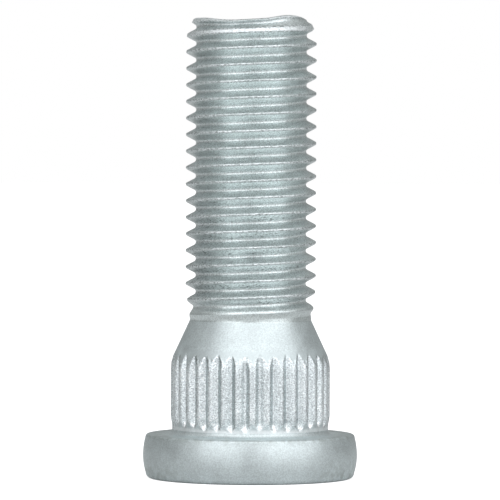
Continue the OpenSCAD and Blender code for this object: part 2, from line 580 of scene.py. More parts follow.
@dataclass
class RolledThread:
    """The rolled right-hand thread, with its run-out, lowered nose, wavy rim and cupped end.

    Above its foot, the thread grows by crest_rise, each entry a share and the span of heights
    over which it grows, and below the neck's radius by root_rise. A dip of the rim is a middle
    angle, a reach in degrees and a depth in mm. A step of the end is a scale and a rise in mm.
    """

    sizes: StudSizes
    steps: int = 272
    spare_turns: int = 3
    profile_angles: Triple = (0, 30, 60)
    crest_round: float = 0.17 * MM
    root_round: float = 0.27 * MM
    crest_rise: tuple[Triple, ...] = ((0.55, -0.1 * MM, 1.2 * MM), (0.45, 1.2 * MM, 3.0 * MM))
    root_rise: Pair = (0.0, 1.9 * MM)
    foot_band: float = 0.03 * MM
    sliver: float = 0.045 * MM
    cut_error: float = 0.001 * MM
    nose_l: float = 2.65 * MM
    nose_fall: float = 0.95 * MM
    nose_blend: float = 0.05 * MM
    raggedness: float = 0.05 * MM
    ragged_scale: float = 5500.0
    ragged_span: Pair = (0.12 * MM, 0.26 * MM)
    rim_l: float = 1.1 * MM
    rim_drop: float = 0.42 * MM
    rim_wave: float = 0.18 * MM
    rim_tilt: float = 0.09 * MM
    rim_angle: float = 71.0
    tilt_angle: float = 330.0
    rim_lobes: int = 3
    end_l: float = 1.26 * MM
    cup_r: float = 4.75 * MM
    rim_dips: tuple[Triple, ...] = ((288.0, 18.0, 0.15), (252.0, 24.0, 0.05), (196.0, 16.0, 0.11))
    end_steps: tuple[Pair, ...] = (
        (0.985, 0.06), (0.98, 0.05), (0.97, 0.03), (0.95, -0.03),
        (0.9, -0.14), (0.82, -0.24), (0.7, -0.2), (0.4, -0.08),
    )

    def half_profile(self) -> list[Pair]:
        """Draw half of one thread, from the crest's middle to the root's middle.

        Returns:
            Pairs of distance along the axis and radius.
        """
        s, angles = self.sizes, [math.radians(angle) for angle in self.profile_angles]
        crest = [
            (self.crest_round * math.sin(a), s.crest_r - self.crest_round * (1 - math.cos(a)))
            for a in angles
        ]
        root = [
            (s.pitch / 2 - self.root_round * math.sin(a), s.root_r + self.root_round * (1 - math.cos(a)))
            for a in reversed(angles)
        ]
        middle = ((crest[-1][0] + root[0][0]) / 2, (crest[-1][1] + root[0][1]) / 2)
        return [*crest, middle, *root]

    def profile(self) -> list[Pair]:
        """Draw one pitch of the thread, from root to root, below the thread's foot.

        Returns:
            Pairs of radius and height.
        """
        s = self.sizes
        turns = math.ceil((s.crest_z - s.thread_z + s.pitch / 2) / s.pitch)
        base = s.crest_z - turns * s.pitch
        half = self.half_profile()
        low = [(r, base - along) for along, r in reversed(half)]
        return [*low, *[(r, base + along) for along, r in half[1:]]]

    def to_crest(self, co: Vector) -> float:
        """Measure how far a place lies from the nearest crest.

        Args:
            co: The place.

        Returns:
            The signed distance along the axis from the crest's middle.
        """
        s = self.sizes
        turns = (co.z - s.crest_z) / s.pitch - math.atan2(co.y, co.x) / math.tau
        return (turns - round(turns)) * s.pitch

    def nose_r(self, z: float) -> float:
        """Return the greatest radius that the lowered nose leaves at height z."""
        above = max(0.0, z - self.sizes.length + self.nose_l)
        return self.sizes.crest_r - self.nose_fall * (above / self.nose_l) ** 2

    def rim_rise(self, angle: float) -> float:
        """Work out how far the rolled rim stands above its mean height.

        Args:
            angle: Angle of the place in radians.

        Returns:
            The rise, below zero in a dip.
        """
        rise = self.rim_wave * math.cos(self.rim_lobes * (angle - math.radians(self.rim_angle)))
        rise += self.rim_tilt * math.cos(angle - math.radians(self.tilt_angle))
        for middle, reach, depth in self.rim_dips:
            rise -= depth * MM * math.exp(-((turn_from(middle, math.degrees(angle)) / reach) ** 2))
        return rise

    def kept(self, r: float, above: float) -> float:
        """Work out the share of the thread's height that its run-out leaves.

        Args:
            r: Radius of the place on the full thread.
            above: Height above the thread's foot.

        Returns:
            A share from 0 to 1.
        """
        if r > self.sizes.neck_r:
            return sum(share * smooth_step(start, stop, above) for share, start, stop in self.crest_rise)
        return smooth_step(*self.root_rise, above)

    def shape(self, piece: Piece) -> None:
        """Fade the thread into the neck, lower its nose and wave its rim.

        Args:
            piece: The wound thread, cut to its length.
        """
        s = self.sizes
        for vert in piece.data.vertices:
            x, y, z = vert.co
            r = math.hypot(x, y)
            keep = self.kept(r, z - s.thread_z)
            ragged = fade(*self.ragged_span, abs(self.to_crest(vert.co)))
            r_new = s.neck_r + (r - s.neck_r) * keep
            r_new -= self.raggedness * ragged * keep * dimples(vert.co, self.ragged_scale)
            set_radius(vert, smooth_min(r_new, self.nose_r(z), self.nose_blend))
            near_rim = smooth_step(s.length - self.rim_l, s.length - self.rim_drop, z)
            vert.co.z = z + self.rim_rise(math.atan2(y, x)) * near_rim

    def clear_foot(self, piece: Piece) -> None:
        """Merge the slivers that the trimming left along the foot.

        Args:
            piece: The trimmed thread.
        """
        Bench.select_band(piece, 0.0, self.sizes.thread_z + self.foot_band)
        with Bench.editing(piece):
            bpy.ops.mesh.remove_doubles(threshold=self.sliver)

    def close_end(self, piece: Piece) -> None:
        """Turn the rim inwards over a small bevel into the shallow cup of the end face.

        Args:
            piece: The shaped thread, open at its end.
        """
        top = self.sizes.length - self.end_l
        Bench.select_rim(piece, lambda co: co.z > top)
        with Bench.editing(piece):
            for scale, rise in self.end_steps:
                bpy.ops.mesh.extrude_region_move()
                bpy.ops.transform.resize(value=(scale, scale, 1.0), center_override=CENTRE)
                bpy.ops.transform.translate(value=(0.0, 0.0, rise * MM))
            bpy.ops.mesh.edge_face_add()
        for vert in piece.data.vertices:
            r = math.hypot(vert.co.x, vert.co.y)
            if vert.co.z > top and r < self.cup_r:
                vert.co.z -= self.rim_rise(math.atan2(vert.co.y, vert.co.x)) * (1.0 - (r / self.cup_r) ** 2)

    def build(self) -> Piece:
        """Wind the profile up the axis, trim both ends and shape them.

        Returns:
            The threaded rod, closed at its end and open at its foot.
        """
        s = self.sizes
        piece = Bench.outline("rolled_thread", self.profile())
        screw = piece.modifiers.new("Helix", "SCREW")
        screw.axis = "Z"
        screw.angle = math.tau
        screw.screw_offset = s.pitch
        screw.iterations = math.ceil((s.length - s.thread_z) / s.pitch) + self.spare_turns
        screw.steps = self.steps
        screw.render_steps = self.steps
        bpy.ops.object.modifier_apply(modifier=screw.name)
        Bench.weld(piece)
        for height, keep_above in ((s.thread_z, True), (s.length - self.rim_drop, False)):
            with Bench.editing(piece):
                bpy.ops.mesh.select_all(action="SELECT")
                bpy.ops.mesh.bisect(
                    plane_co=(0.0, 0.0, height),
                    plane_no=UP,
                    clear_inner=keep_above,
                    clear_outer=not keep_above,
                    threshold=self.cut_error,
                )
        self.clear_foot(piece)
        self.shape(piece)
        self.close_end(piece)
        LOG.info("rolled thread: %d faces", len(piece.data.polygons))
        return piece


@dataclass
class BlankPaint:
    """Masks of the blank: pressed steel, soil and painted side shade on the head, painted shade on the
    grooves' flanks and painted highlights at their tips and along the shank's foot.

    A span is a pair of start and end, and edge_span counts from the head's seat. A petal's edge
    is part of an ellipse, and petal_slim says how soon it ends across a groove. The points on
    the cone rise and fall in mm.
    """

    blank: HeadedBlank
    head_reach: float = 0.1 * MM
    foot_reach: float = 1.0 * MM
    least_soil: float = 0.08
    low_soil: float = 0.05
    # Painted shade: the head's lower part darkens towards its left and right sides.
    side_shade: float = 0.5
    edge_soil: float = 0.5
    low_span: Pair = (0.3 * MM, 2.6 * MM)
    side_span: Pair = (4.5 * MM, 8.5 * MM)
    edge_span: Pair = (-0.35 * MM, -0.1 * MM)
    fillet_share: float = 0.5
    petal_l: float = 1.05 * MM
    petal_slim: float = 1.54
    petal_edge: float = 0.15 * MM
    point_rise: float = 0.5
    point_fall: float = 0.7
    point_edge: float = 0.2 * MM
    # Painted shade on the grooves' flanks, less of it on the right.
    shade_start: float = 0.2
    shade_stop: float = 3.9
    shade_edge: float = 0.8
    right_shade_span: Pair = (-1.5 * MM, 2.5 * MM)
    right_shade_loss: float = 0.4
    # Painted highlights at the grooves' tips and along the shank's foot.
    tip_highlight_share: float = 0.7
    tip_l: float = 0.5 * MM
    tip_gap: float = 0.3
    foot_highlight_share: float = 0.8
    foot_l: float = 0.25 * MM

    def soil(self, co: Vector) -> float:
        """Work out how soiled a place on the head is, with painted shade added towards the left and right
        sides of its lower part.

        Args:
            co: The place.

        Returns:
            A share from 0 to 1.
        """
        low, sides = fade(*self.low_span, co.z), smooth_step(*self.side_span, abs(co.x))
        edge = smooth_step(*shifted(self.edge_span, self.blank.sizes.head_t), co.z)
        # The sides term is painted shade; the other terms are soil.
        return self.least_soil + self.low_soil * low + self.side_shade * low * sides + self.edge_soil * edge

    def pressed(self, angle: float, z: float) -> float:
        """Work out how far a place on the shank lies inside the petals of the knurl.

        Args:
            angle: Angle of the place in degrees.
            z: Height of the place.

        Returns:
            A share from 0 to 1.
        """
        s, groove = self.blank.sizes, self.blank.nearest(angle)
        away = abs(turn_from(groove.angle, angle)) / self.blank.groove_pitch
        petal = self.petal_l * (1.0 - math.sqrt(max(0.0, 1.0 - (self.petal_slim * away) ** 2)))
        start = s.tips_z + groove.tip + petal
        stop = s.cone_z + (self.point_rise - self.point_fall * min(1.0, 2 * away) ** 2) * MM
        return smooth_step(start, start + self.petal_edge, z) * fade(stop - self.point_edge, stop, z)

    def flank(self, angle: float, co: Vector) -> float:
        """Work out how much painted shade a place on a groove's flank gets.

        Args:
            angle: Angle of the place in degrees.
            co: The place.

        Returns:
            A share of painted shade from 0 to 1, smaller on the right.
        """
        across = self.blank.across(angle, co.z)
        share = smooth_step(self.shade_start, self.shade_start + self.shade_edge, across)
        inner = fade(self.shade_stop - self.shade_edge, self.shade_stop, across)
        share *= self.blank.aside(angle) * inner
        return share * (1.0 - self.right_shade_loss * smooth_step(*self.right_shade_span, co.x))

    def tip(self, angle: float, z: float) -> float:
        """Work out how much painted highlight a place near a groove's tip, or along the shank's foot, gets.

        Args:
            angle: Angle of the place in degrees.
            z: Height of the place.

        Returns:
            A share from 0 to 1.
        """
        s, blank = self.blank.sizes, self.blank
        share = self.tip_highlight_share * fade(s.knurl_z - self.tip_l, s.knurl_z, z)
        share *= fade(blank.floor_half, blank.flank_end - self.tip_gap, blank.across(angle, z))
        return max(share, self.foot_highlight_share * fade(s.tips_z, s.tips_z + self.foot_l, z))

    def masks(self, co: Vector) -> Colour:
        """Work out the masks of a place.

        Args:
            co: The place.

        Returns:
            Pressed or soiled with painted side shade, painted flank shade, painted tip highlight, and 1.
        """
        s = self.blank.sizes
        if s.head_t + self.fillet_share * s.fillet_r < co.z < s.knurl_stop_z:
            angle = math.degrees(math.atan2(co.y, co.x))
            return self.pressed(angle, co.z), self.flank(angle, co), self.tip(angle, co.z), 1.0
        headed = co.z < s.head_t + self.head_reach and math.hypot(co.x, co.y) > s.shank_r + self.foot_reach
        return self.soil(co) if headed else 0.0, 0.0, 0.0, 1.0


@dataclass
class ThreadPaint:
    """Masks of the thread: crests, roots, worn lower flanks, and where it has its full height.

    A span is a pair of start and end. Those of the rim and the nose count from the stud's end,
    root_span from the root's middle and crest_span from the edge of the crest's flat.
    """

    thread: RolledThread
    plain_end_r: float
    flank_angle: float = 30.0
    foot_l: float = 2.2 * MM
    crest_span: Pair = (0.02 * MM, 0.15 * MM)
    root_span: Pair = (-0.2 * MM, -0.05 * MM)
    under_span: Pair = (0.08 * MM, 0.25 * MM)
    worn_z: float = 25.0 * MM
    worn_blend: float = 2.0 * MM
    worn_x: float = 3.0 * MM
    worn_edge: float = 1.6 * MM
    rim_span: Pair = (-1.5 * MM, -1.1 * MM)
    nose_span: Pair = (-2.4 * MM, -1.6 * MM)
    nose_gain: float = 0.6
    upper_loss: float = 0.75
    side_loss: float = 0.45
    rim_under: float = 0.4
    rim_loss: float = 0.5
    rim_crest: float = 0.25
    side_crest: float = 0.5

    def masks(self, co: Vector) -> Colour:
        """Work out the masks of a place.

        Args:
            co: The place.

        Returns:
            Crest, which passes 1 on the nose, root, worn lower flank, and full height.
        """
        s, z = self.thread.sizes, co.z
        if z < s.thread_z or math.hypot(co.x, co.y) < self.plain_end_r:
            return 0.0, 0.0, 0.0, 0.0
        along = self.thread.to_crest(co)
        tall = smooth_step(0.0, self.foot_l, z - s.thread_z)
        flat = max(0.0, s.crest_r - self.thread.nose_r(z)) * math.tan(math.radians(self.flank_angle))
        crest = tall * fade(*shifted(self.crest_span, flat), abs(along))
        # Above 1 on the nose, where a painted glint is added and the crest is dulled and nicked less.
        crest *= 1.0 + self.nose_gain * smooth_step(*shifted(self.nose_span, s.length), z)
        root = tall * smooth_step(*shifted(self.root_span, s.pitch / 2), abs(along))
        upper = smooth_step(self.worn_z - self.worn_blend, self.worn_z + self.worn_blend, z)
        under = tall * smooth_step(*self.under_span, -along) * (1.0 - root)
        under *= 1.0 - self.upper_loss * upper
        side = (1.0 - self.side_loss * upper) * tall
        side *= smooth_step(self.worn_x, self.worn_x + self.worn_edge, -co.x)
        rim = smooth_step(*shifted(self.rim_span, s.length), z)
        under = max(under * (1.0 - rim), self.rim_under * rim, side * (1.0 - self.rim_loss * rim))
        return max(crest, self.rim_crest * rim, self.side_crest * side), root, under, tall


@dataclass(frozen=True)
class Cloud:
    """A cloud noise: its features a metre, its octaves, and the span of values that it becomes.

    Values from low to high become first to last. Features are flatten times longer across the
    piece than along its axis.
    """

    scale: float
    detail: float
    low: float
    high: float
    first: float = 0.0
    last: float = 1.0
    flatten: float = 1.0


class Weave:
    """A node tree being put together, with one short method for each kind of node."""

    def __init__(self, tree: Tree) -> None:
        """Start on a tree."""
        self.tree = tree

    def node(self, kind: str, **values: object) -> bpy.types.Node:
        """Add a node.

        Args:
            kind: Type name of the node.
            values: Settings of the node itself, such as its operation.

        Returns:
            The new node.
        """
        node = self.tree.nodes.new(kind)
        for name, value in values.items():
            setattr(node, name, value)
        return node

    def feed(self, socket: Socket, source: object) -> None:
        """Give a socket a link or, where the source is a plain value, that value.

        Args:
            socket: Input socket.
            source: Output socket, number or colour.
        """
        if isinstance(source, Socket):
            self.tree.links.new(source, socket)
        else:
            socket.default_value = source

    def place(self) -> Socket:
        """Return the place on the piece, in metres of the shared frame."""
        return self.node("ShaderNodeTexCoord").outputs["Object"]

    def masks(self, name: Masks) -> list[Socket]:
        """Read the masks that a colour attribute of the mesh carries.

        Args:
            name: Which attribute to read.

        Returns:
            Its four masks.
        """
        painted = self.node("ShaderNodeAttribute", attribute_name=name.value)
        parts = self.node("ShaderNodeSeparateColor")
        self.feed(parts.inputs[0], painted.outputs["Color"])
        return [*parts.outputs, painted.outputs["Alpha"]]

    def noise(self, scale: object, detail: float, flatten: float = 1.0) -> Socket:
        """Add a cloud noise.

        Args:
            scale: Features a metre.
            detail: Octaves added to the first.
            flatten: How many times longer across the piece than along its axis the features are.

        Returns:
            The noise, about 0.5 in the mean.
        """
        node = self.node("ShaderNodeTexNoise")
        place = self.place()
        if flatten != 1.0:
            stretch = self.node("ShaderNodeVectorMath", operation="MULTIPLY")
            self.feed(stretch.inputs[0], place)
            self.feed(stretch.inputs[1], (1.0, 1.0, flatten))
            place = stretch.outputs["Vector"]
        for name, value in (("Vector", place), ("Scale", scale), ("Detail", detail)):
            self.feed(node.inputs[name], value)
        return node.outputs["Fac"]

    def span(
        self, value: Socket, low: float, high: float, first: object = 0.0, last: object = 1.0
    ) -> Socket:
        """Map a value's span from low to high onto the span from first to last.

        Args:
            value: Socket to map.
            low: Value that becomes first.
            high: Value that becomes last.
            first: Socket or number at the low end.
            last: Socket or number at the high end.

        Returns:
            The mapped value, held between first and last.
        """
        node = self.node("ShaderNodeMapRange")
        names = ("Value", "From Min", "From Max", "To Min", "To Max")
        for name, number in zip(names, (value, low, high, first, last)):
            self.feed(node.inputs[name], number)
        return node.outputs["Result"]

    def cloud(self, cloud: Cloud) -> Socket:
        """Add a cloud noise and map it onto its span."""
        clouds = self.noise(cloud.scale, cloud.detail, cloud.flatten)
        return self.span(clouds, cloud.low, cloud.high, cloud.first, cloud.last)

    def math(self, operation: str, *values: object) -> Socket:
        """Put numbers together.

        Args:
            operation: Name of the operation, such as MAXIMUM.
            values: The two or three sockets or numbers that it takes.

        Returns:
            The result.
        """
        node = self.node("ShaderNodeMath", operation=operation)
        for socket, value in zip(node.inputs, values):
            self.feed(socket, value)
        return node.outputs["Value"]

    def times(self, first: object, second: object) -> Socket:
        """Return the product of two values."""
        return self.math("MULTIPLY", first, second)

    def blend(self, share: object, first: object, second: object, kind: str = "MIX") -> Socket:
        """Blend two colours.

        Args:
            share: Socket or number, the second colour's share.
            first: Colour or socket underneath.
            second: Colour or socket on top.
            kind: Blend type, such as MIX or MULTIPLY.

        Returns:
            The blended colour.
        """
        node = self.node("ShaderNodeMix", data_type="RGBA", blend_type=kind)
        for index, value in ((0, share), (6, first), (7, second)):
            self.feed(node.inputs[index], value)
        return node.outputs[2]

    def group(self, tree: Tree, **values: object) -> bpy.types.Node:
        """Use a node group.

        Args:
            tree: The group.
            values: Sockets, numbers or colours for its inputs, by name.

        Returns:
            The node that holds it.
        """
        node = self.node("ShaderNodeGroup", node_tree=tree)
        for name, value in values.items():
            self.feed(node.inputs[name], value)
        return node


class Plating:
    """The effects of the plating, as shader node groups that the finishes share.

    Clouds vary the tone and break up the worn marks and the painted glints. Four numbers in a row map a
    mask from the first two onto the last two. The crest mask passes 1 on the nose, where the crests are
    worn less and carry a painted glint.
    """

    TONES: tuple[Cloud, ...] = (
        Cloud(900.0, 4.0, 0.3, 0.7, 0.95, 1.04),
        Cloud(5000.0, 2.0, 0.3, 0.7, 0.96, 1.04),
        Cloud(280.0, 3.0, 0.35, 0.65, 0.92, 1.04),
    )
    ROUGHNESS: Cloud = Cloud(900.0, 4.0, 0.3, 0.7, 0.9, 1.12)
    CRYSTALS: Cloud = Cloud(9000.0, 1.0, 0.36, 0.64, -1.0, 1.0)
    GRAIN_DETAIL: float = 2.0
    MOTTLE: Cloud = Cloud(5600.0, 4.0, 0.48, 0.56, flatten=1.6)
    MOTTLE_SHARE: float = 0.6
    MOTTLE_COLOUR: Colour = (0.84, 0.88, 0.89, 1.0)
    # Painted highlight in the thread's roots.
    ROOT_HIGHLIGHT_SHARE: float = 0.15
    ROOT_HIGHLIGHT_COLOUR: Colour = (0.86, 0.9, 0.91, 1.0)
    DULL_CREST: Spans = (1.0, 1.5, 0.7, 0.0)
    DULL_COLOUR: Colour = (0.34, 0.39, 0.39, 1.0)
    # Painted glints on the crests.
    GLINTS: Cloud = Cloud(3800.0, 4.0, 0.44, 0.56, flatten=2.0)
    GLINT_PATCHES: Cloud = Cloud(500.0, 2.0, 0.35, 0.6, first=0.5)
    GLINT_NOSE: Spans = (1.0, 1.5, 0.0, 0.3)
    GLINT_COLOUR: Colour = (0.94, 0.985, 1.0, 1.0)
    NICKS: Cloud = Cloud(4300.0, 4.0, 0.54, 0.6, flatten=2.0)
    NICK_PATCHES: Cloud = Cloud(420.0, 2.0, 0.4, 0.6, first=0.4)
    NICK_CREST: Spans = (1.0, 1.6, 0.6, 0.1)
    NICK_FLANK: float = 0.85
    NICK_COLOUR: Colour = (0.09, 0.11, 0.11, 1.0)

    def __init__(self) -> None:
        """Make the three groups."""
        self.tone = self.make_tone()
        self.grain = self.make_grain()
        # The wear group also paints glints on the crests and a highlight in the roots.
        self.wear = self.make_wear_and_glints()

    @staticmethod
    def new_group(name: str, inputs: dict[str, str], outputs: dict[str, str]) -> Tree:
        """Make an empty node group.

        Args:
            name: Name of the group.
            inputs: Names and kinds of its input sockets.
            outputs: Names and kinds of its output sockets.

        Returns:
            The new group.
        """
        tree = bpy.data.node_groups.new(name, "ShaderNodeTree")
        for side, sockets in (("INPUT", inputs), ("OUTPUT", outputs)):
            for socket, kind in sockets.items():
                tree.interface.new_socket(name=socket, in_out=side, socket_type=f"NodeSocket{kind}")
        return tree

    def make_tone(self) -> Tree:
        """Cloud the plating's colour and roughness and fleck it with crystals.

        Returns:
            The group.
        """
        inputs = {"Colour": "Color", "Roughness": "Float", "Fleck": "Float"}
        tree = Plating.new_group("plating_tone", inputs, {"Colour": "Color", "Roughness": "Float"})
        weave = Weave(tree)
        given, made = weave.node("NodeGroupInput"), weave.node("NodeGroupOutput")
        level = weave.times(weave.cloud(self.TONES[0]), weave.cloud(self.TONES[1]))
        level = weave.times(level, weave.cloud(self.TONES[2]))
        flecks = weave.math("MULTIPLY_ADD", weave.cloud(self.CRYSTALS), given.outputs["Fleck"], 1.0)
        level = weave.times(level, flecks)
        grey = weave.node("ShaderNodeCombineColor")
        for socket in grey.inputs:
            weave.feed(socket, level)
        colour = weave.blend(1.0, given.outputs["Colour"], grey.outputs[0], "MULTIPLY")
        weave.feed(made.inputs["Colour"], colour)
        rough = weave.times(given.outputs["Roughness"], weave.cloud(self.ROUGHNESS))
        weave.feed(made.inputs["Roughness"], rough)
        return tree

    def make_grain(self) -> Tree:
        """Give the height of the plating's fine crystal grain.

        Returns:
            The group.
        """
        inputs = {"Scale": "Float", "Amount": "Float"}
        tree = Plating.new_group("plating_grain", inputs, {"Height": "Float"})
        weave = Weave(tree)
        given, made = weave.node("NodeGroupInput"), weave.node("NodeGroupOutput")
        fine = weave.noise(given.outputs["Scale"], self.GRAIN_DETAIL)
        weave.feed(made.inputs["Height"], weave.times(fine, given.outputs["Amount"]))
        return tree

    def make_wear_and_glints(self) -> Tree:
        """Dull the thread's crest lines and break them with painted glints, paint a highlight in its roots,
        mottle its lower flanks and nick it.

        Returns:
            The group.
        """
        inputs = {"Colour": "Color", "Crest": "Float", "Root": "Float", "Under": "Float"}
        tree = Plating.new_group("rolling_wear_and_glints", inputs, {"Colour": "Color"})
        weave = Weave(tree)
        given, made = weave.node("NodeGroupInput"), weave.node("NodeGroupOutput")
        crest, root, under = (given.outputs[name] for name in ("Crest", "Root", "Under"))
        mottled = weave.times(under, weave.times(weave.cloud(self.MOTTLE), self.MOTTLE_SHARE))
        colour = weave.blend(mottled, given.outputs["Colour"], self.MOTTLE_COLOUR)
        # Painted highlight: the roots are lightened.
        colour = weave.blend(weave.times(root, self.ROOT_HIGHLIGHT_SHARE), colour, self.ROOT_HIGHLIGHT_COLOUR)
        dulled = weave.times(crest, weave.span(crest, *self.DULL_CREST))
        colour = weave.blend(dulled, colour, self.DULL_COLOUR)
        # Painted glints: near-white specks along the crests, and a steady one on the nose.
        glints = weave.times(weave.cloud(self.GLINTS), weave.cloud(self.GLINT_PATCHES))
        glints = weave.math("MAXIMUM", glints, weave.span(crest, *self.GLINT_NOSE))
        colour = weave.blend(weave.times(crest, glints), colour, self.GLINT_COLOUR)
        nicks = weave.times(weave.cloud(self.NICKS), weave.cloud(self.NICK_PATCHES))
        crests = weave.times(crest, weave.span(crest, *self.NICK_CREST))
        near = weave.math("MAXIMUM", crests, weave.times(under, self.NICK_FLANK))
        colour = weave.blend(weave.times(near, nicks), colour, self.NICK_COLOUR)
        weave.feed(made.inputs["Colour"], colour)
        return tree


@dataclass(frozen=True)
class ZincFinish:
    """Zinc plating over steel. The grain's depth is in mm."""

    name: str
    colour: Colour = (0.622, 0.684, 0.693, 1.0)
    roughness: float = 0.5
    fleck: float = 0.03
    grain_scale: float = 7000.0
    grain_depth: float = 0.012
    grain_strength: float = 0.6

    def tone(self, weave: Weave, plating: Plating) -> tuple[Socket, Socket]:
        """Return the colour and the roughness of the plating."""
        tone = weave.group(plating.tone, Colour=self.colour, Roughness=self.roughness, Fleck=self.fleck)
        return tone.outputs["Colour"], tone.outputs["Roughness"]

    def grain(self, weave: Weave, plating: Plating) -> Socket:
        """Return the height of the grain."""
        return weave.group(plating.grain, Scale=self.grain_scale, Amount=1.0).outputs["Height"]

    def build(self, plating: Plating) -> bpy.types.Material:
        """Make the material.

        Args:
            plating: The node groups that all finishes share.

        Returns:
            The finished material.
        """
        material = bpy.data.materials.new(self.name)
        material.use_nodes = True
        weave = Weave(material.node_tree)
        shader = material.node_tree.nodes["Principled BSDF"]
        shader.inputs["Metallic"].default_value = 1.0
        colour, roughness = self.tone(weave, plating)
        bump = weave.node("ShaderNodeBump")
        bump.inputs["Strength"].default_value = self.grain_strength
        bump.inputs["Distance"].default_value = self.grain_depth * MM
        weave.feed(bump.inputs["Height"], self.grain(weave, plating))
        weave.feed(shader.inputs["Base Color"], colour)
        weave.feed(shader.inputs["Roughness"], roughness)
        weave.feed(shader.inputs["Normal"], bump.outputs["Normal"])
        return material


@dataclass(frozen=True)
class HeadedFinish(ZincFinish):
    """Plating over the forged head, patchy and soiled along its edges, with painted shade on its sides."""

    roughness: float = 0.46
    fleck: float = 0.1
    soil_and_shade_colour: Colour = (0.36, 0.4, 0.385, 1.0)
    patches: Cloud = Cloud(1800.0, 4.0, 0.4, 0.62)

    def tone(self, weave: Weave, plating: Plating) -> tuple[Socket, Socket]:
        """Soil the plating in patches inside the mask, which also holds painted shade on the head's sides.

        Args:
            weave: The material's tree.
            plating: The node groups that all finishes share.

        Returns:
            The colour and the roughness.
        """
        # The mask holds soil and, on the head's sides, painted shade.
        soiled = weave.masks(Masks.KNURL)[0]
        colour, roughness = super().tone(weave, plating)
        soiled = weave.times(soiled, weave.cloud(self.patches))
        return weave.blend(soiled, colour, self.soil_and_shade_colour), roughness


@dataclass(frozen=True)
class KnurledFinish(ZincFinish):
    """Plating over the pressed grooves, flecked and grainy where the steel was worked, with painted shade
    on the flanks and painted highlights at the tips.
    """

    grain_depth: float = 0.06
    grain_strength: float = 1.0
    worked_colour: Colour = (0.755, 0.815, 0.835, 1.0)
    worked_roughness: float = 0.3
    worked_fleck: float = 0.28
    flank_shade_colour: Colour = (0.34, 0.385, 0.38, 1.0)
    flank_shade_share: float = 0.75
    tip_highlight_colour: Colour = (0.88, 0.92, 0.93, 1.0)
    plain_grain: float = 0.1
    flank_grain: float = 0.5

    def tone(self, weave: Weave, plating: Plating) -> tuple[Socket, Socket]:
        """Lighten and fleck the plating inside the mask, paint shade on the grooves' flanks and paint
        highlights at their tips and along the shank's foot.

        Args:
            weave: The material's tree.
            plating: The node groups that all finishes share.

        Returns:
            The colour and the roughness.
        """
        pressed, flank, tip, _ = weave.masks(Masks.KNURL)
        fleck = weave.span(pressed, 0.0, 1.0, self.fleck, self.worked_fleck)
        roughness = weave.span(pressed, 0.0, 1.0, self.roughness, self.worked_roughness)
        # Painted shade: the flank mask darkens the worked colour.
        worked = weave.blend(weave.times(flank, self.flank_shade_share), self.worked_colour, self.flank_shade_colour)
        colour = weave.blend(pressed, self.colour, worked)
        # Painted highlight at the grooves' tips and along the shank's foot.
        colour = weave.blend(tip, colour, self.tip_highlight_colour)
        tone = weave.group(plating.tone, Colour=colour, Roughness=roughness, Fleck=fleck)
        return tone.outputs["Colour"], tone.outputs["Roughness"]

    def grain(self, weave: Weave, plating: Plating) -> Socket:
        """Keep the grain low outside the mask and lower on the flanks than on the floors.

        Args:
            weave: The material's tree.
            plating: The node groups that all finishes share.

        Returns:
            The height of the grain.
        """
        pressed, flank, _, _ = weave.masks(Masks.KNURL)
        amount = weave.span(pressed, 0.0, 1.0, self.plain_grain, 1.0)
        amount = weave.times(amount, weave.span(flank, 0.0, 1.0, 1.0, self.flank_grain))
        return weave.group(plating.grain, Scale=self.grain_scale, Amount=amount).outputs["Height"]


@dataclass(frozen=True)
class RolledFinish(ZincFinish):
    """Plating over the rolled thread, with dulled crests broken by painted glints, a painted highlight in
    the roots and small nicks.
    """

    colour: Colour = (0.668, 0.73, 0.729, 1.0)
    roughness: float = 0.36
    fleck: float = 0.26
    grain_scale: float = 9000.0
    grain_depth: float = 0.055
    grain_strength: float = 1.0
    foot_fleck: float = 0.16
    foot_grain: float = 0.14
    plain_grain: float = 0.21
    under_grain: float = 0.5
    crest_grain: float = 0.75

    def tone(self, weave: Weave, plating: Plating) -> tuple[Socket, Socket]:
        """Wear the plating on the crests and the lower flanks, paint glints on the crests and a highlight
        in the roots.

        Args:
            weave: The material's tree.
            plating: The node groups that all finishes share.

        Returns:
            The colour and the roughness.
        """
        crest, root, under, tall = weave.masks(Masks.THREAD)
        fleck = weave.span(tall, 0.0, 1.0, self.foot_fleck, self.fleck)
        tone = weave.group(plating.tone, Colour=self.colour, Roughness=self.roughness, Fleck=fleck)
        # Real wear with painted glints on the crests and a painted highlight in the roots.
        worn = weave.group(plating.wear, Colour=tone.outputs["Colour"], Crest=crest, Root=root, Under=under)
        return worn.outputs["Colour"], tone.outputs["Roughness"]

    def grain(self, weave: Weave, plating: Plating) -> Socket:
        """Make the grain strongest on the crests.

        Args:
            weave: The material's tree.
            plating: The node groups that all finishes share.

        Returns:
            The height of the grain.
        """
        crest, _, under, tall = weave.masks(Masks.THREAD)
        plain = weave.span(tall, 0.0, 1.0, self.foot_grain, self.plain_grain)
        below = weave.span(under, 0.0, 1.0, plain, self.under_grain)
        amount = weave.math("MULTIPLY_ADD", crest, self.crest_grain, below)
        return weave.group(plating.grain, Scale=self.grain_scale, Amount=amount).outputs["Height"]


